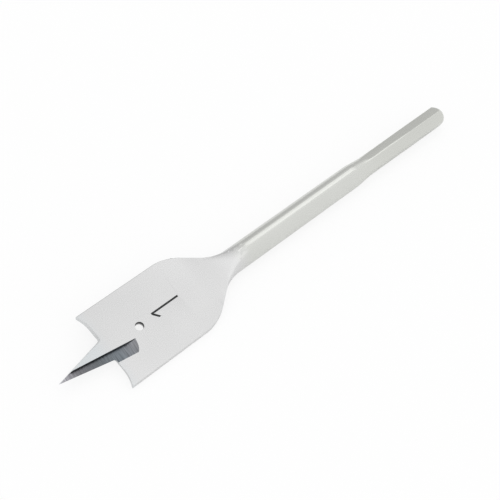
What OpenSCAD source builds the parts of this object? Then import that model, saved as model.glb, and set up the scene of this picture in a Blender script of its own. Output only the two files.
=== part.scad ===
// Spade bit: a flat cutting blade forged on the end of a round rod, with a hexagonal shank.
// The bit lies along X as it comes to rest, on its shaft and one edge of the blade, point towards -X.

/* [Overall] */
// Length from the tip of the point to the end of the shank
length = 158; // [130:0.5:250]

/* [Blade] */
// Width across the two spurs
blade_w = 25.4; // [20:0.1:38]
// Thickness of the flat blade
blade_t = 2; // [1.6:0.1:3.2]
// Length of the parallel sides, from the lips to the shoulders
side_l = 25.5; // [20:0.5:45]
// Angle of the shoulders to the axis
shoulder_angle = 37; // [30:0.5:46]
// Radius where the sides turn into the shoulders
shoulder_r = 14.5; // [3:0.5:18]
// Radius where the shoulders run into the shaft
neck_r = 13.5; // [3:0.5:18]
// Distance from the lips to where the flat faces start to rise
ramp_x = 33; // [30:0.1:44]
// Radius in which they rise to the top of the shaft
ramp_r = 45; // [14:0.5:60]

/* [Point and lips] */
// Distance from the tip of the point to the lips
point_l = 16.1; // [12:0.1:22]
// Angle between the two edges of the point
point_angle = 24; // [16:0.5:34]
// Clearance ground behind the edges of the point
point_relief = 20; // [6:0.5:24]
// Clearance ground behind the lips
lip_relief = 8; // [4:0.5:14]
// Radius between the point and each lip
root_r = 0.9; // [0.4:0.1:1.6]
// How far the spurs stand ahead of the lips
spur_h = 1.2; // [0.5:0.1:2.5]
// Width of the curve from each lip to its spur
spur_w = 5; // [3:0.1:6]

/* [Gash beside the point] */
// Width of the ground groove
gash_w = 3.9; // [3:0.1:5]
// Depth of the groove at its inner wall
gash_depth = 0.8; // [0.5:0.05:0.9]
// Length of the groove from the tip
gash_l = 24.4; // [20:0.1:28]
// Distance of the inner wall past the axis, level with the tip
gash_y = 1.4; // [1:0.1:2]
// Angle of the groove to the axis
gash_angle = 8.2; // [5:0.1:11]
// Slope of the floor, up towards the edge of the point
gash_rake = 11; // [3:0.5:14]
// Radius of the grinding wheel, seen at the end of the groove
wheel_r = 9; // [4:0.5:20]

/* [Wire hole] */
// Diameter of the hole
hole_d = 2.6; // [2:0.1:4]
// Distance from the lips to the hole
hole_x = 11.3; // [10:0.1:16]

/* [Shaft and shank] */
// Diameter of the round shaft
shaft_d = 7.75; // [7.4:0.05:10]
// Length of the cone between the shaft and the shank
cone_l = 10.5; // [3:0.5:16]
// Width of the hexagonal shank across its flats
hex_af = 6.3; // [5.5:0.05:6.4]
// Length of the hexagonal shank, behind the cone
hex_l = 33; // [25:0.5:50]
// Turn of the hexagon about the axis, from where two of its corners stand square to the blade
hex_turn = 3; // [0:0.5:30]
// Width of the hexagon across its corners, where they come out of the round
corner_w = 6.6; // [6.4:0.05:7.2]
// Length behind the cone over which the corners grow to their full height
corner_l = 18; // [5:1:24]
// Length of the chamfer at the end of the shank
chamfer_l = 1.6; // [0.5:0.1:2.5]
// Angle of that chamfer to the axis
chamfer_angle = 35; // [20:1:50]

/* [Hidden] */
$fn = 96;

// Overshoot of the cutters past the surfaces that they open
over = 1;

// Flats that make up each rise, and how far its end clears the top of the shaft
ramp_steps = 8;
ramp_over = 0.15;

// How far the cone ends under the flats of the hexagon
cone_sink = 0.2;

// Slight angle at which a rounding meets its two lines, so that the edge between them is a clear one
join_angle = 4;

// Half sizes and stations along the axis, from the tip
blade_r = blade_w / 2;
shaft_r = shaft_d / 2;
face_z = blade_t / 2;
half_point = point_angle / 2;
shoulder_x = point_l + side_l;
hex_start = length - hex_l;
cone_start = hex_start - cone_l;

// Roll about the axis at which an edge of the blade comes level with the underside of the shaft
rest_roll = asin(shaft_r / blade_r) - asin(face_z / blade_r);

// Line of the shaft on which it bears, as an angle past the lowest one, away from the edge that it lies on
contact_angle = 2;

// The corners of the blade's outline, before they are rounded
side_corner = [shoulder_x + shoulder_r * tan(shoulder_angle / 2), blade_r];
neck_corner = side_corner + (blade_r - shaft_r) * [1 / tan(shoulder_angle), -1];

// The hexagon's corners, and the end of the cone, which runs out under the flats
hex_corner_r = hex_af / 2 / cos(30);
cone_end_r = hex_af / 2 - cone_sink;

// The point's edges lie on opposite faces, and meet in a short chisel edge at the tip
tip_y = face_z * tan(point_relief) / cos(half_point);
root_y = tip_y + point_l * tan(half_point);

// Each notch is ground along one leaning direction, clear of the lip and of the point's edge
lean = [tan(lip_relief), tan(lip_relief) * tan(half_point) - tan(point_relief) / cos(half_point)];
lean_angle = atan(norm(lean));
lean_dir = lean / norm(lean);
spur_r = (pow(spur_w, 2) + pow(spur_h, 2)) / (2 * spur_h);
notch_depth = point_l + over;

// A point of the face's plane, drawn in the plane across the leaning direction
function across(p) = p - (1 - cos(lean_angle)) * (p * lean_dir) * lean_dir;

function unit(v) = v / norm(v);

// The arc of radius r that rounds the corner p, on the lines to a and b: its start, centre and end
function rounding(a, p, b, r) =
    let (u = unit(a - p), v = unit(b - p), half = acos(u * v) / 2)
    [p + u * r / tan(half), p + unit(u + v) * r / sin(half), p + v * r / tan(half)];

// What rounds the corner p: cut from an outer corner, or added in an inner one
module corner(a, p, b, r) {
    arc = rounding(a, p, b, r);
    difference() {
        polygon([arc[0], p + over * unit(p - arc[1]), arc[2], arc[1]]);
        translate(arc[1]) circle(r / cos(join_angle));
    }
}

// Half outline of the blade, the shaft and the cone, seen from above
module plan() {
    front = [-over / 2, blade_r];
    rear = [cone_start, shaft_r];
    cone_end = [hex_start, cone_end_r];
    difference() {
        polygon([[front.x, 0], front, side_corner, neck_corner, rear, cone_end, [hex_start, 0]]);
        corner(front, side_corner, neck_corner, shoulder_r);
    }
    corner(side_corner, neck_corner, rear, neck_r);
}

// What lies under the upper face, seen from the side: level along the blade, curving up to the shaft
module profile() {
    start = [point_l + ramp_x, face_z];
    turn = acos(1 - (shaft_r + ramp_over - face_z) / ramp_r) / ramp_steps;
    ramp = [for (i = [0 : ramp_steps]) start + ramp_r * [sin(i * turn), 1 - cos(i * turn)]];
    top = shaft_r + over;
    rear = [ramp[ramp_steps].x, top];
    polygon([[-over, -top], [-over, face_z], each ramp, rear, [length, top], [length, -top]]);
}

// Blade, shaft and cone: the outline turned about the axis, pressed flat between the two faces
module forging() {
    intersection() {
        rotate([0, 90, 0]) rotate(contact_angle - rest_roll)
            rotate_extrude() rotate(-90) mirror([1, 0]) plan();
        rotate([90, 0, 0]) linear_extrude(blade_w + 2 * over, center = true) profile();
        rotate([-90, 0, 0]) linear_extrude(blade_w + 2 * over, center = true) profile();
    }
}

// Half outline to which the hexagon's corners are turned: low at the cone, chamfered at the end
module turned_corners() {
    grown = [hex_corner_r, hex_start + corner_l];
    chamfer_start = [hex_corner_r, length - chamfer_l] + over * [1, -1 / tan(chamfer_angle)];
    chamfer_end = [hex_corner_r - chamfer_l * tan(chamfer_angle), length];
    polygon([[0, cone_start], [corner_w / 2, cone_start], grown, chamfer_start, chamfer_end, [0, length]]);
}

// Hexagonal shank, which starts inside the cone
module shank() {
    rotate([0, 90, 0]) rotate(hex_turn) intersection() {
        translate([0, 0, cone_start]) cylinder(h = length - cone_start, r = hex_corner_r, $fn = 6);
        rotate_extrude() turned_corners();
    }
}

// Outline of the notch beside the point, from the corner between the point and the lip
module notch_outline() {
    ahead = across(-notch_depth * [1, tan(half_point)]);
    spur_start = across([0, blade_r - spur_w - root_y]);
    lip = unit(spur_start);
    forward = [-lip.y, lip.x];
    lip_end = blade_w * lip;
    spur_corner = spur_start + spur_r * lip;
    difference() {
        polygon([ahead, [0, 0], lip_end, ahead + lip_end]);
        corner(ahead, [0, 0], lip_end, root_r);
        corner(spur_start, spur_corner, spur_corner + forward, spur_r);
    }
}

// Notch on the +Y side, whose cutting edges lie on the lower face
module notch() {
    translate([point_l, root_y, -face_z])
        rotate(a = lean_angle, v = [-lean_dir.y, lean_dir.x, 0])
            linear_extrude(2 * blade_w, center = true) notch_outline();
}

// Groove on the upper face beside the point, ending where the wheel lifts out
module gash() {
    run_out = sqrt(pow(wheel_r, 2) - pow(wheel_r - gash_depth, 2));
    floor_end = [gash_l - run_out, -gash_depth];
    wheel_corner = floor_end + [wheel_r, 0];
    translate([0, gash_y, face_z])
        rotate([-gash_rake, 0, -gash_angle])
            rotate([90, 0, 0])
                linear_extrude(gash_w)
                    difference() {
                        translate([-over, -gash_depth]) square([wheel_corner.x + over, wheel_r]);
                        corner(floor_end, wheel_corner, wheel_corner + [0, 1], wheel_r);
                    }
}

module spade_bit() {
    color("#d6d7d6") translate([-length / 2, 0, shaft_r]) rotate([rest_roll, 0, 0]) difference() {
        union() {
            forging();
            shank();
        }
        for (turn = [0, 180])
            rotate([turn, 0, 0]) {
                notch();
                gash();
            }
        translate([point_l + hole_x, 0, -face_z - over]) cylinder(h = blade_t + 2 * over, d = hole_d);
    }
}

spade_bit();
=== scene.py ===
"""Spade drill bit: satin plated blade, shaft and shank, with bare ground grooves beside the point.

Sizes are in millimetres in the blade's own frame, with x from the tip, unless a line says otherwise.
"""

import math

import bmesh
import bpy
from mathutils import Euler, Matrix, Vector


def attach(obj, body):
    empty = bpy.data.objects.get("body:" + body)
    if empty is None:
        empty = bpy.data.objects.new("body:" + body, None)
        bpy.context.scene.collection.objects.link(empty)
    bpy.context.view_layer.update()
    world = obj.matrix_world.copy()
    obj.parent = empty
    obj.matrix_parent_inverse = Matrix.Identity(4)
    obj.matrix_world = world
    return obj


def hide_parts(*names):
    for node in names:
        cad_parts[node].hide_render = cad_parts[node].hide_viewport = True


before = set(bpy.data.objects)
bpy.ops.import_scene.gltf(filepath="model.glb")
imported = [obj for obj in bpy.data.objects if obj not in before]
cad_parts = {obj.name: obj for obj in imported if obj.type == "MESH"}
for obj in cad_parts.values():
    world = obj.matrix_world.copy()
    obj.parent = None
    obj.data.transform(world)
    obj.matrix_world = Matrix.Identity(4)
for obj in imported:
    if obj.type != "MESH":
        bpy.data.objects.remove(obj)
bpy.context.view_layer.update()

MM = 0.001

# Sizes of the bit, as in the part's source
LENGTH = 158.0
BLADE_W = 25.4
BLADE_T = 2.0
POINT_L = 16.1
SHAFT_R = 7.75 / 2
HOLE_R = 2.6 / 2
HOLE_X = POINT_L + 11.3
GASH_ANGLE = math.radians(8.2)
GASH_RAKE = math.radians(11.0)
GASH_Y = 1.4
GASH_W = 3.9
GASH_L = 24.4
GASH_DEPTH = 0.8
WHEEL_R = 9.0
RAMP_X = POINT_L + 33.0
RAMP_R = 45.0
NECK_R = 13.5
FACE_Z = BLADE_T / 2

# The bit lies on its shaft and on one edge of the blade, rolled by this angle about its axis
REST_ROLL = math.asin(SHAFT_R / (BLADE_W / 2)) - math.asin(BLADE_T / BLADE_W)

# From the blade's own frame to the part's: x from the tip, z square to the blade, origin on the axis
BLADE = (
    Matrix.Diagonal((MM, MM, MM, 1))
    @ Matrix.Translation((-LENGTH / 2, 0, SHAFT_R))
    @ Matrix.Rotation(REST_ROLL, 4, "X")
)
TO_BLADE = BLADE.inverted()
TURN = BLADE.to_3x3().normalized()
TURN_BACK = TURN.inverted()

# The groove's inner wall on the upper face, and the way along the groove
WALL_NORMAL = (
    Matrix.Rotation(-GASH_ANGLE, 3, "Z") @ Matrix.Rotation(-GASH_RAKE, 3, "X") @ Vector((0, 1, 0))
)
WALL_PLACE = Vector((0, GASH_Y, FACE_Z))
GASH_WAY = Matrix.Rotation(-GASH_ANGLE, 3, "Z") @ Vector((1, 0, 0))

# Length in which the wheel lifts out, and how far its end moves for each millimetre from the inner wall
RUN_OUT = math.sqrt(WHEEL_R ** 2 - (WHEEL_R - GASH_DEPTH) ** 2)
SQUARE_UP = 0.38

# Slack for finding a vertex or a face by its place, and for whether it lies on a surface
NEAR = 0.1
FINE = 0.02

# How far under the blade's face the middle of a face lies that is cut into it
SUNK = 0.008

# A unit vector is level where its z is below the first, and points up where it is above the second
LEVEL = 0.3
UP = 0.8

# Vertices of the solid this close are one, faces this flat are one, and facets this shallow are one side
MERGE = 0.012
FLAT = math.radians(0.3)
SHALLOW = math.radians(10)

# Edges up to this angle are shaded as one smooth surface
SMOOTH = math.radians(28)

# Edges sharper than this are rounded: the blade's forged edges, the rims of the hole, the shank's corners
SHARP = math.radians(22)
EDGE_ROUND = 0.25
RIM_ROUND = 0.12
CORNER_ROUND = 0.32

# Where those edges and corners lie along the bit, and the distance from the axis past which a side begins
EDGE_FROM = 18
EDGE_TO = 49
SIDE_Y = 8
CORNER_FROM = 130
CORNER_TO = 156

# Where the neck's arc meets the shaft, and the stretch in which the neck is blended
NECK_X = 62.7
NECK_FROM = 57
NECK_TO = 69

# Length in which the blend grows to its full width, and that width, as the gap between its two surfaces
NECK_START = 4
NECK_BLEND = 1.5

# Cuts that keep the shading even: rings at the neck and the cone, and lines along the rising faces
NECK_RINGS = (50.1, 52.2, 54.3, 56.3, 58.4, 60.4, 62.4, 64.3, 65.9, 67, 68, 70, 73)
CONE_RINGS = (111, 113, 116, 119, 122, 126, 131)
RISE_LINES = [0.5 * step for step in range(-9, 10)]

# Where the faces start that the rings cut, where the rising faces end, and how close two cuts may pass
RINGS_FROM = 45
RISE_TO = 66
CUT_GAP = 0.15

# The stamped figure: its stroke along the bit, the foot of its flag, and where the flag ends from there
FIGURE_FROM = 32.3
FIGURE_TO = 42.0
FIGURE_Y = 0.85
FIGURE_W = 0.6
FIGURE_DEPTH = 0.3
FLAG_FOOT = 0.75
FLAG_WAY = (1.3, -1.75, 0)

# The finishes, in the order of the bit's material slots; the dark one also paints shade on the hole's wall
PLATED, GROUND, OXIDE_AND_SHADE = range(3)

# Colours of the plated steel, and the stretches in which one passes into the next
BLADE_COLOUR = "#d8d8d8"
POINT_COLOUR = "#d4d8da"
SHAFT_COLOUR = "#d5d6d2"
SHANK_COLOUR = "#d1d2cd"
TO_POINT = {"From_Min": 18.0, "From_Max": 13.0}
TO_SHAFT = {"From_Min": 62.0, "From_Max": 68.0}
TO_SHANK = {"From_Min": 112.0, "From_Max": 128.0}

# Colours of the ground steel, by shares of the groove's length from the tip
# Besides the bare steel's own darker tone, these paint in the darker surroundings that the groove's floor
# mirrors
GROUND_COLOURS = (
    (0.06, "#b8b7bc"), (0.16, "#9a999e"), (0.25, "#7e7e82"),
    (0.5, "#71767a"), (0.74, "#7c8389"), (0.95, "#8e8f93"),
)

# The range in which most of a noise pattern's values lie
NOISE = {"From_Min": 0.3, "From_Max": 0.7}

# Width of the floor, in metres
FLOOR_W = 4

# Share of the floor that takes light and shadow, as the camera sees it and as the metal mirrors it
SEEN_SHARE = 0.18
MIRRORED_SHARE = 0.75

# The photograph's viewpoint, with its turn in degrees and its focal length and width in pixels
CAMERA_PLACE = (-58.378, -63.051, 247.133)
CAMERA_TURN = (27.591, -12.2055, -41.8861)
FOCAL_PX = 953.5
PHOTO_PX = 500
SENSOR_W = 36


def linear(hex_colour):
    """A written sRGB colour as linear RGBA."""
    channels = [int(hex_colour[i:i + 2], 16) / 255 for i in (1, 3, 5)]
    return tuple(c / 12.92 if c <= 0.04045 else ((c + 0.055) / 1.055) ** 2.4 for c in channels) + (1.0,)


def add(tree, kind, settings=None, **links):
    """Adds a node with its settings, and links or sets its inputs, which are named, or numbered as i0."""
    node = tree.nodes.new(kind)
    for name, value in (settings or {}).items():
        if name == "stops":
            elements = node.color_ramp.elements
            for place, colour in value[2:]:
                elements.new(place)
            for element, (place, colour) in zip(elements, value):
                element.position = place
                element.color = linear(colour)
        else:
            setattr(node, name, value)
    for name, value in links.items():
        numbered = name[0] == "i" and name[1:].isdigit()
        socket = node.inputs[int(name[1:]) if numbered else name.replace("_", " ")]
        if isinstance(value, bpy.types.NodeSocket):
            tree.links.new(value, socket)
        else:
            socket.default_value = value
    return node


def new_material(name):
    """A new material and its empty tree."""
    material = bpy.data.materials.new(name)
    material.use_nodes = True
    material.node_tree.nodes.clear()
    return material, material.node_tree


def blade_place(tree):
    """Places in the blade's own frame, as a vector and as its three coordinates."""
    place = add(
        tree, "ShaderNodeMapping", {"vector_type": "TEXTURE"},
        Vector=add(tree, "ShaderNodeTexCoord").outputs["Object"],
        Location=BLADE.translation, Rotation=(REST_ROLL, 0, 0), Scale=(MM, MM, MM),
    ).outputs["Vector"]
    return place, add(tree, "ShaderNodeSeparateXYZ", Vector=place).outputs


def plated_steel():
    """Steel forged, tumbled and nickel plated: a fine satin grain blurs what it mirrors.

    The rod keeps its drawn surface, so its plating looks warmer than on the pressed blade.
    """
    material, tree = new_material("satin_nickel_plated_steel")
    place, axis = blade_place(tree)
    point = add(tree, "ShaderNodeMapRange", Value=axis["X"], **TO_POINT)
    drawn = add(tree, "ShaderNodeMapRange", Value=axis["X"], **TO_SHAFT)
    shank = add(tree, "ShaderNodeMapRange", Value=axis["X"], **TO_SHANK)
    flat = add(
        tree, "ShaderNodeMix", {"data_type": "RGBA"},
        i0=point.outputs["Result"], i6=linear(BLADE_COLOUR), i7=linear(POINT_COLOUR),
    )
    rod = add(
        tree, "ShaderNodeMix", {"data_type": "RGBA"},
        i0=shank.outputs["Result"], i6=linear(SHAFT_COLOUR), i7=linear(SHANK_COLOUR),
    )
    tint = add(
        tree, "ShaderNodeMix", {"data_type": "RGBA"},
        i0=drawn.outputs["Result"], i6=flat.outputs[2], i7=rod.outputs[2],
    )
    # Tumbling leaves a fine grain, drawn 0.4 mm wide, which is coarser than the real one, so that it shows
    grain = add(tree, "ShaderNodeTexNoise", Vector=place, Scale=1 / 0.4, Detail=3.0, Roughness=0.6)
    # The plating's thickness drifts over about 14 mm
    cloud = add(tree, "ShaderNodeTexNoise", Vector=place, Scale=1 / 14, Detail=2.0)
    shade = add(
        tree, "ShaderNodeMapRange", Value=cloud.outputs["Fac"], To_Min=0.985, To_Max=1.015, **NOISE,
    )
    colour = add(
        tree, "ShaderNodeVectorMath", {"operation": "SCALE"},
        i0=tint.outputs[2], Scale=shade.outputs["Result"],
    )
    rough = add(tree, "ShaderNodeMapRange", Value=grain.outputs["Fac"], To_Min=0.25, To_Max=0.28, **NOISE)
    bump = add(tree, "ShaderNodeBump", Strength=0.03, Distance=0.01 * MM, Height=grain.outputs["Fac"])
    shader = add(
        tree, "ShaderNodeBsdfPrincipled",
        Base_Color=colour.outputs["Vector"], Metallic=1.0,
        Roughness=rough.outputs["Result"], Normal=bump.outputs["Normal"],
    )
    add(tree, "ShaderNodeOutputMaterial", Surface=shader.outputs["BSDF"])
    return material


def ground_steel():
    """Tool steel ground bare by the rim of a wheel: darker than the plating, partly as painted reflection,
    scratched across the groove.

    A nearly black line along the inner wall is painted shade, in the corner between the wall and the
    groove's floor.
    """
    material, tree = new_material("bare_ground_tool_steel")
    place, axis = blade_place(tree)
    # The lower face has the same groove by a half turn about the axis
    side = add(tree, "ShaderNodeMath", {"operation": "SIGN"}, i0=axis["Z"])
    across = add(tree, "ShaderNodeMath", {"operation": "MULTIPLY"}, i0=axis["Y"], i1=side.outputs[0])
    height = add(tree, "ShaderNodeMath", {"operation": "ABSOLUTE"}, i0=axis["Z"])
    folded = add(
        tree, "ShaderNodeCombineXYZ", X=axis["X"], Y=across.outputs[0], Z=height.outputs[0],
    ).outputs["Vector"]
    before_wall = add(tree, "ShaderNodeVectorMath", {"operation": "DOT_PRODUCT"}, i0=folded, i1=-WALL_NORMAL)
    from_wall = add(
        tree, "ShaderNodeMath", {"operation": "ADD"},
        i0=before_wall.outputs["Value"], i1=WALL_NORMAL.dot(WALL_PLACE),
    )
    # Painted shade: the floor darkens to half within 0.26 mm of the inner wall, and the wall with it
    painted_wall_shade = add(
        tree, "ShaderNodeMapRange", {"interpolation_type": "SMOOTHSTEP"}, Value=from_wall.outputs[0],
        From_Min=0.0, From_Max=0.26, To_Min=0.5, To_Max=1.0,
    )
    # The groove's tones change along it from the tip, and partly paint in the darker surroundings that its
    # floor mirrors
    from_tip = add(tree, "ShaderNodeMapRange", Value=axis["X"], From_Min=0.0, From_Max=GASH_L)
    tone_and_dark_reflection = add(tree, "ShaderNodeValToRGB", {"stops": GROUND_COLOURS}, Fac=from_tip.outputs["Result"])
    # Real scratches lie about 0.1 mm apart, and are drawn 0.22 mm apart so that they show
    run = add(
        tree, "ShaderNodeMapping", {"vector_type": "TEXTURE"}, Vector=folded,
        Rotation=(0, 0, -GASH_ANGLE), Scale=(0.22, 7.0, 7.0),
    )
    scratch = add(tree, "ShaderNodeTexNoise", Vector=run.outputs["Vector"], Scale=1.0, Detail=2.0)
    shade = add(tree, "ShaderNodeMapRange", Value=scratch.outputs["Fac"], To_Min=0.6, To_Max=1.4, **NOISE)
    level = add(
        tree, "ShaderNodeMath", {"operation": "MULTIPLY"},
        i0=shade.outputs["Result"], i1=painted_wall_shade.outputs["Result"],
    )
    colour = add(
        tree, "ShaderNodeVectorMath", {"operation": "SCALE"},
        i0=tone_and_dark_reflection.outputs["Color"], Scale=level.outputs[0],
    )
    bump = add(tree, "ShaderNodeBump", Strength=0.3, Distance=0.02 * MM, Height=scratch.outputs["Fac"])
    shader = add(
        tree, "ShaderNodeBsdfPrincipled",
        Base_Color=colour.outputs["Vector"], Metallic=1.0, Roughness=0.36, Normal=bump.outputs["Normal"],
    )
    add(tree, "ShaderNodeOutputMaterial", Surface=shader.outputs["BSDF"])
    return material


def oxide_and_hole_shade():
    """Black oxide in the stamped figure, and painted shade on the punched hole's wall: matt and nearly
    black.

    The lower part of the hole's wall keeps the plated colour.
    """
    material, tree = new_material("black_oxide_and_hole_shade")
    place, axis = blade_place(tree)
    # Oxide grows in specks of about 0.2 mm
    speck = add(tree, "ShaderNodeTexNoise", Vector=place, Scale=1 / 0.2, Detail=3.0)
    tone = add(
        tree, "ShaderNodeValToRGB", {"stops": ((0.3, "#2a2b2c"), (0.7, "#464748"))},
        Fac=speck.outputs["Fac"],
    )
    # Only the hole wall's upper half is painted dark as shade; from the middle down it keeps the plated
    # colour
    lower_wall = add(tree, "ShaderNodeMapRange", Value=axis["Z"], From_Min=0.0, From_Max=-0.3)
    colour = add(
        tree, "ShaderNodeMix", {"data_type": "RGBA"},
        i0=lower_wall.outputs["Result"], i6=tone.outputs["Color"], i7=linear(BLADE_COLOUR),
    )
    metal = add(tree, "ShaderNodeMapRange", Value=lower_wall.outputs["Result"], To_Min=0.4, To_Max=1.0)
    shader = add(
        tree, "ShaderNodeBsdfPrincipled",
        Base_Color=colour.outputs[2], Metallic=metal.outputs["Result"], Roughness=0.5,
    )
    add(tree, "ShaderNodeOutputMaterial", Surface=shader.outputs["BSDF"])
    return material


def only(piece):
    """Selects this object and no other."""
    bpy.ops.object.select_all(action="DESELECT")
    piece.select_set(True)
    bpy.context.view_layer.objects.active = piece


def edit(piece):
    """Opens this object alone in edit mode."""
    only(piece)
    bpy.ops.object.mode_set(mode="EDIT")


def pick(piece, kind, wanted):
    """Selects the vertices, edges or faces of the open piece that are wanted, and no others."""
    bpy.ops.mesh.select_mode(type=kind)
    bpy.ops.mesh.select_all(action="DESELECT")
    mesh = bmesh.from_edit_mesh(piece.data)
    for element in {"VERT": mesh.verts, "EDGE": mesh.edges, "FACE": mesh.faces}[kind]:
        element.select = wanted(element)
    mesh.select_flush_mode()
    bmesh.update_edit_mesh(piece.data)


def middle_of(edge):
    """The middle of an edge, in the blade's own frame."""
    return TO_BLADE @ ((edge.verts[0].co + edge.verts[1].co) / 2)


def on_side(place):
    """Whether a place lies on one of the blade's sides, along the edges that are rounded."""
    return EDGE_FROM < place.x < EDGE_TO and abs(place.y) > SIDE_Y


def on_rise(middle, normal):
    """Whether a face is one of those that rise from the blade to the shaft, which are level across."""
    return RAMP_X < middle.x < RISE_TO and abs(normal.y) < FINE


def in_neck(place):
    """Whether a place lies on the neck, above or below the level of the blade's faces."""
    return NECK_FROM < place.x < NECK_TO and abs(place.z) > FACE_Z + NEAR


def from_hole(place):
    """Distance from the axis of the wire hole."""
    return math.hypot(place.x - HOLE_X, place.y)


def bit_blank():
    """The forged and ground bit, from the frame's own solid, with its flats made whole faces."""
    bit = bpy.data.objects.new("bit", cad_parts["spade_bit"].data.copy())
    bit.data.name = "bit"
    bit.data.materials.clear()
    bpy.context.collection.objects.link(bit)
    edit(bit)
    bpy.ops.mesh.select_all(action="SELECT")
    bpy.ops.mesh.remove_doubles(threshold=MERGE * MM)
    bpy.ops.mesh.dissolve_limited(angle_limit=FLAT)
    bpy.ops.object.mode_set(mode="OBJECT")
    return bit


def square_run_out(bit):
    """Squares up the end of each groove, where the wheel lifts out, by moving its corners along it."""
    edit(bit)
    mesh = bmesh.from_edit_mesh(bit.data)
    for side in (1, -1):
        half_turn = Matrix.Diagonal((1, side, side))
        for vertex in mesh.verts:
            place = half_turn @ (TO_BLADE @ vertex.co)
            from_wall = WALL_NORMAL.dot(WALL_PLACE - place)
            in_groove = NEAR / 2 < from_wall < GASH_W + NEAR and place.z > NEAR
            before_end = GASH_L - GASH_WAY.dot(place - WALL_PLACE)
            if in_groove and -NEAR < before_end < RUN_OUT + NEAR:
                moved = place + GASH_WAY * SQUARE_UP * from_wall
                vertex.co = BLADE @ (half_turn @ moved)
    bmesh.update_edit_mesh(bit.data)
    bpy.ops.object.mode_set(mode="OBJECT")


def along_side(edge):
    """Whether an edge runs along a side of the blade, between two of its shallow facets."""
    if not on_side(middle_of(edge)):
        return False
    run = TURN_BACK @ (edge.verts[1].co - edge.verts[0].co).normalized()
    upright = any(abs((TURN_BACK @ face.normal).z) < LEVEL for face in edge.link_faces)
    return abs(run.z) < LEVEL and upright and edge.calc_face_angle(0) < SHALLOW


def merge_side_facets(bit):
    """Makes each side of the blade one strip of faces, so that no short edge hinders the rounding."""
    edit(bit)
    pick(bit, "EDGE", along_side)
    bpy.ops.mesh.dissolve_edges(use_verts=True)
    bpy.ops.object.mode_set(mode="OBJECT")


def soften_edges(bit, wanted, width, segments):
    """Rounds the sharp edges whose middle is wanted."""
    edit(bit)
    pick(bit, "EDGE", lambda edge: edge.calc_face_angle(0) > SHARP and wanted(middle_of(edge)))
    bpy.ops.mesh.bevel(
        offset=width * MM, offset_type="OFFSET", segments=segments, profile=0.5, affect="EDGES",
        clamp_overlap=False,
    )
    bpy.ops.object.mode_set(mode="OBJECT")


def cut_faces(bit, wanted, place, way):
    """Cuts the faces that are wanted, by their middle and normal, along a plane square to the way."""
    pick(bit, "FACE", lambda face: wanted(TO_BLADE @ face.calc_center_median(), TURN_BACK @ face.normal))
    bpy.ops.mesh.bisect(plane_co=BLADE @ Vector(place), plane_no=TURN @ Vector(way))


def cut_rings(bit):
    """Cuts rings around the neck and the cone, and a grid of lines on the rising faces."""
    edit(bit)
    for x in NECK_RINGS:
        cut_faces(bit, lambda middle, normal: middle.x > RINGS_FROM, (x, 0, 0), (1, 0, 0))
    for y in RISE_LINES:
        cut_faces(bit, on_rise, (0, y, 0), (0, 1, 0))
    for x in CONE_RINGS:
        cut_faces(bit, lambda middle, normal: middle.x > NECK_RINGS[-1], (x, 0, 0), (1, 0, 0))
    # Short edges where a cut passes close to another would show as specks
    pick(bit, "VERT", lambda vertex: in_neck(TO_BLADE @ vertex.co))
    bpy.ops.mesh.remove_doubles(threshold=CUT_GAP * MM)
    # A vertex that only two faces share would fold them onto each other once they are triangles
    pick(bit, "VERT", lambda vertex: in_neck(TO_BLADE @ vertex.co) and len(vertex.link_edges) == 2)
    bpy.ops.mesh.dissolve_verts()
    bpy.ops.object.mode_set(mode="OBJECT")


def blend_neck(bit):
    """Blends the rising faces into the turned neck and shaft, as the forging dies leave them."""
    edit(bit)
    mesh = bmesh.from_edit_mesh(bit.data)
    for vertex in mesh.verts:
        place = TO_BLADE @ vertex.co
        if in_neck(place):
            rise = FACE_Z + RAMP_R - math.sqrt(RAMP_R ** 2 - (place.x - RAMP_X) ** 2)
            flare = NECK_R - math.sqrt(NECK_R ** 2 - min(place.x - NECK_X, 0) ** 2)
            turned = math.sqrt(max((SHAFT_R + flare) ** 2 - place.y ** 2, 0))
            blend = NECK_BLEND * min((place.x - NECK_FROM) / NECK_START, 1)
            share = max(1 - abs(rise - turned) / blend, 0)
            place.z -= math.copysign(blend / 4 * share ** 2, place.z)
            vertex.co = BLADE @ place
    bmesh.update_edit_mesh(bit.data)
    bpy.ops.object.mode_set(mode="OBJECT")


def figure_punch():
    """The punch for the figure 1: a stroke along the bit and a slanting flag at its end."""
    bpy.ops.object.select_all(action="DESELECT")
    bpy.ops.mesh.primitive_plane_add(size=1)
    punch = bpy.context.object
    punch.name = "punch"
    punch.scale = (FIGURE_TO - FIGURE_FROM, FIGURE_W, 1)
    punch.location = ((FIGURE_FROM + FIGURE_TO) / 2, FIGURE_Y, FACE_Z - FIGURE_DEPTH)
    bpy.ops.object.transform_apply(location=True, rotation=True, scale=True)
    foot = FIGURE_FROM + FLAG_FOOT
    edit(punch)
    bpy.ops.mesh.select_all(action="SELECT")
    bpy.ops.mesh.bisect(plane_co=(foot, 0, 0), plane_no=(1, 0, 0))
    pick(
        punch, "EDGE",
        lambda edge: all(end.co.x < foot + NEAR and end.co.y < FIGURE_Y for end in edge.verts),
    )
    bpy.ops.mesh.extrude_region_move(TRANSFORM_OT_translate={"value": FLAG_WAY})
    bpy.ops.mesh.select_all(action="SELECT")
    bpy.ops.mesh.extrude_region_move(TRANSFORM_OT_translate={"value": (0, 0, FIGURE_DEPTH + NEAR)})
    bpy.ops.mesh.select_all(action="SELECT")
    bpy.ops.mesh.normals_make_consistent(inside=False)
    bpy.ops.object.mode_set(mode="OBJECT")
    punch.data.transform(BLADE)
    return punch


def stamp_figure(bit):
    """Presses the figure into the upper face."""
    punch = figure_punch()
    stamp = bit.modifiers.new("stamp", "BOOLEAN")
    stamp.operation = "DIFFERENCE"
    stamp.solver = "EXACT"
    stamp.object = punch
    only(bit)
    bpy.ops.object.modifier_apply(modifier="stamp")
    bpy.data.objects.remove(punch)
    bit.data.materials.clear()


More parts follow.
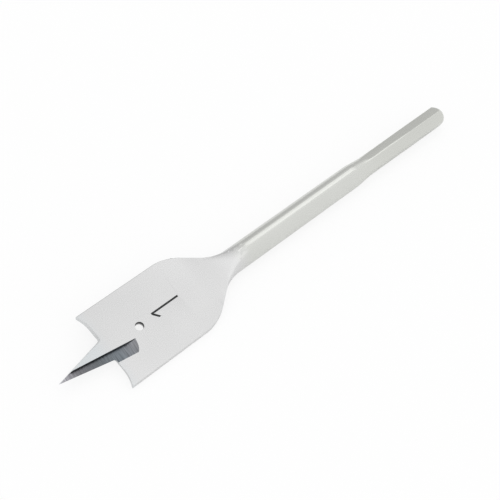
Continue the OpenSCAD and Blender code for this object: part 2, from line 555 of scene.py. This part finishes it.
def finish_of(middle, normal):
    """Which finish a face has, from its middle and its normal in the blade's own frame."""
    # The hole's wall takes the dark material as painted shade
    if from_hole(middle) < HOLE_R + FINE and abs(normal.z) < LEVEL:
        return OXIDE_AND_SHADE
    sunk = abs(middle.y) < SIDE_Y and abs(middle.z) < FACE_Z - SUNK
    if sunk and middle.z > 0 and FIGURE_FROM - NEAR < middle.x < FIGURE_TO + NEAR:
        return OXIDE_AND_SHADE
    # The lower face is the upper one, turned by half a turn about the axis
    half_turn = Matrix.Diagonal((1, 1, 1)) if middle.z > 0 else Matrix.Diagonal((1, -1, -1))
    on_wall = abs(WALL_NORMAL.dot(half_turn @ middle - WALL_PLACE)) < FINE
    on_floor = (half_turn @ normal).z > UP
    in_groove = sunk and middle.x < GASH_L + NEAR
    return GROUND if in_groove and (on_floor or on_wall) else PLATED


def finish_faces(bit):
    """Gives the ground grooves and the stamped figure their own finish, paints shade on the hole's wall, and
    shades the faces.
    """
    for material in (plated_steel(), ground_steel(), oxide_and_hole_shade()):
        bit.data.materials.append(material)
    for face in bit.data.polygons:
        face.material_index = finish_of(TO_BLADE @ face.center, TURN_BACK @ face.normal)
    only(bit)
    bpy.ops.object.shade_smooth_by_angle(angle=SMOOTH)
    # The groove has few and long faces, over which smooth shading would draw a false crease
    for face in bit.data.polygons:
        face.use_smooth = face.material_index != GROUND
    bit.modifiers.new("even_shading", "WEIGHTED_NORMAL").keep_sharp = True


def make_bit():
    """The bit: forged edges rounded, hole deburred, shank's corners broken, neck blended, figure stamped."""
    bit = bit_blank()
    square_run_out(bit)
    merge_side_facets(bit)
    soften_edges(bit, on_side, EDGE_ROUND, 3)
    soften_edges(bit, lambda place: from_hole(place) < HOLE_R + NEAR / 2, RIM_ROUND, 2)
    soften_edges(bit, lambda place: CORNER_FROM < place.x < CORNER_TO, CORNER_ROUND, 4)
    cut_rings(bit)
    blend_neck(bit)
    stamp_figure(bit)
    finish_faces(bit)
    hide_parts("spade_bit")
    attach(bit, "root")


def make_floor():
    """White paper: its own light makes it white to the eye and in the metal, the rest takes the shadow."""
    bpy.ops.object.select_all(action="DESELECT")
    bpy.ops.mesh.primitive_plane_add(size=FLOOR_W)
    floor = bpy.context.object
    floor.name = "floor"
    material, tree = new_material("white_paper")
    path = add(tree, "ShaderNodeLightPath").outputs
    mirrored = add(
        tree, "ShaderNodeMath", {"operation": "MAXIMUM"},
        i0=path["Is Glossy Ray"], i1=path["Is Transmission Ray"],
    )
    seen = add(
        tree, "ShaderNodeMath", {"operation": "MAXIMUM"},
        i0=mirrored.outputs[0], i1=path["Is Camera Ray"],
    )
    # The metal mirrors the floor close by, where the shadow is deep
    lit = add(
        tree, "ShaderNodeMapRange", Value=mirrored.outputs[0], To_Min=SEEN_SHARE, To_Max=MIRRORED_SHARE,
    )
    rest = add(tree, "ShaderNodeMath", {"operation": "SUBTRACT"}, i0=1.0, i1=lit.outputs["Result"])
    glow = add(tree, "ShaderNodeMath", {"operation": "MULTIPLY"}, i0=rest.outputs[0], i1=seen.outputs[0])
    paper = add(tree, "ShaderNodeBsdfDiffuse", Color=lit.outputs["Result"])
    white = add(tree, "ShaderNodeEmission", Color=(1, 1, 1, 1), Strength=glow.outputs[0])
    both = add(tree, "ShaderNodeAddShader", i0=paper.outputs[0], i1=white.outputs[0])
    add(tree, "ShaderNodeOutputMaterial", Surface=both.outputs[0])
    floor.data.materials.append(material)


def make_softbox(name, place, size, radiance):
    """A softbox that faces down and towards the bit's axis, with its place and size in metres."""
    lamp = bpy.data.lights.new(name, "AREA")
    lamp.shape = "RECTANGLE"
    lamp.size = size[0]
    lamp.size_y = size[1]
    # An area lamp's radiance is a quarter of its power over its area
    lamp.energy = radiance * 4 * lamp.size * lamp.size_y
    softbox = bpy.data.objects.new(name, lamp)
    bpy.context.collection.objects.link(softbox)
    softbox.location = place
    softbox.rotation_euler = (-math.atan2(place[1], place[2]), 0, 0)


def make_light():
    """A white dome that is dimmer behind the bit, with weak softboxes for the shaft, blade and neck."""
    world = bpy.data.worlds.new("studio")
    bpy.context.scene.world = world
    world.use_nodes = True
    tree = world.node_tree
    tree.nodes.clear()
    way = add(tree, "ShaderNodeTexCoord").outputs["Generated"]
    across = add(tree, "ShaderNodeSeparateXYZ", Vector=way).outputs["Y"]
    dim = add(
        tree, "ShaderNodeMapRange", {"interpolation_type": "SMOOTHSTEP"}, Value=across,
        From_Min=-0.05, From_Max=0.85, To_Min=0.98, To_Max=0.65,
    )
    path = add(tree, "ShaderNodeLightPath")
    level = add(
        tree, "ShaderNodeMix", {"data_type": "FLOAT"},
        i0=path.outputs["Is Camera Ray"], i2=dim.outputs["Result"], i3=1.0,
    )
    sky = add(tree, "ShaderNodeBackground", Color=(1, 1, 1, 1), Strength=level.outputs[0])
    add(tree, "ShaderNodeOutputWorld", Surface=sky.outputs[0])
    make_softbox("shaft_softbox", place=(0.385, 0.235, 0.55), size=(0.31, 0.4), radiance=0.42)
    make_softbox("blade_softbox", place=(0.02, -0.2, 0.57), size=(0.36, 0.38), radiance=0.15)
    make_softbox("neck_softbox", place=(-0.25, 0.0, 0.6), size=(0.4, 0.5), radiance=0.16)


def make_camera():
    """The photograph's viewpoint, worked out from the outline of the bit."""
    data = bpy.data.cameras.new("camera")
    data.sensor_width = SENSOR_W
    data.lens = SENSOR_W * FOCAL_PX / PHOTO_PX
    data.clip_start = 0.01
    camera = bpy.data.objects.new("camera", data)
    bpy.context.collection.objects.link(camera)
    turn = Euler([math.radians(angle) for angle in CAMERA_TURN]).to_matrix().to_4x4()
    place = Matrix.Translation(BLADE @ Vector(CAMERA_PLACE))
    camera.matrix_world = place @ Matrix.Rotation(REST_ROLL, 4, "X") @ turn
    bpy.context.scene.camera = camera


make_bit()
make_floor()
make_light()
make_camera()
bpy.context.scene.view_settings.view_transform = "Standard"
